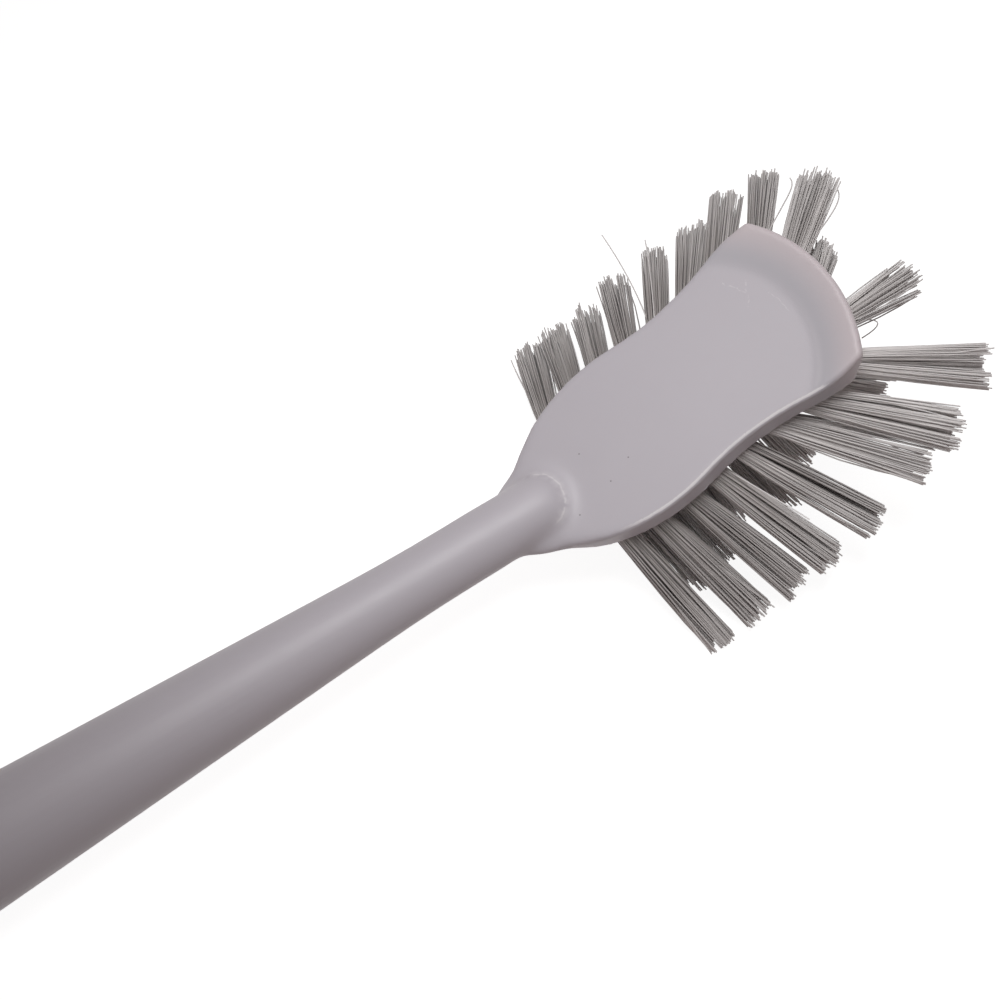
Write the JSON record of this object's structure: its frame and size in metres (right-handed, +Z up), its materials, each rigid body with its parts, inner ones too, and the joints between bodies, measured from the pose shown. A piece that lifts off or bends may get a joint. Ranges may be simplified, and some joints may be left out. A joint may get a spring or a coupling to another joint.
{
  "type": "dish brush",
  "caption": "Dish brush with a swelling round handle, a waisted paddle head ending in a raised scraper lip, and splayed bristle tufts anchored in its underside.",
  "frame": {"origin": "on the table under the middle of the bounding box, with the brush lying on its rear tufts and the butt of its handle", "axes": "+X along the brush from the butt of the handle to the scraper lip, +Z up, the plane y = 0 is the middle plane of the handle and the head"},
  "size_m": [0.2552, 0.078, 0.0529],
  "materials": {
    "moulding": "satin moulded polypropylene, light warm grey",
    "bristle": "straight translucent grey polyester filaments",
    "anchor_wire": "flat galvanised wire"
  },
  "bodies": {
    "root": {"handle_head": "moulding", "tuft_anchors": "anchor_wire", "tuft_front_centre": "bristle", "tuft_front_far": "bristle", "tuft_front_near": "bristle", "tuft_inner_far_1": "bristle", "tuft_inner_far_2": "bristle", "tuft_inner_far_3": "bristle", "tuft_inner_far_4": "bristle", "tuft_inner_far_5": "bristle", "tuft_inner_far_6": "bristle", "tuft_inner_near_1": "bristle", "tuft_inner_near_2": "bristle", "tuft_inner_near_3": "bristle", "tuft_inner_near_4": "bristle", "tuft_inner_near_5": "bristle", "tuft_inner_near_6": "bristle", "tuft_outer_far_1": "bristle", "tuft_outer_far_2": "bristle", "tuft_outer_far_3": "bristle", "tuft_outer_far_4": "bristle", "tuft_outer_far_5": "bristle", "tuft_outer_far_6": "bristle", "tuft_outer_far_7": "bristle", "tuft_outer_far_8": "bristle", "tuft_outer_near_1": "bristle", "tuft_outer_near_2": "bristle", "tuft_outer_near_3": "bristle", "tuft_outer_near_4": "bristle", "tuft_outer_near_5": "bristle", "tuft_outer_near_6": "bristle", "tuft_outer_near_7": "bristle", "tuft_outer_near_8": "bristle"}
  },
  "joints": []
}
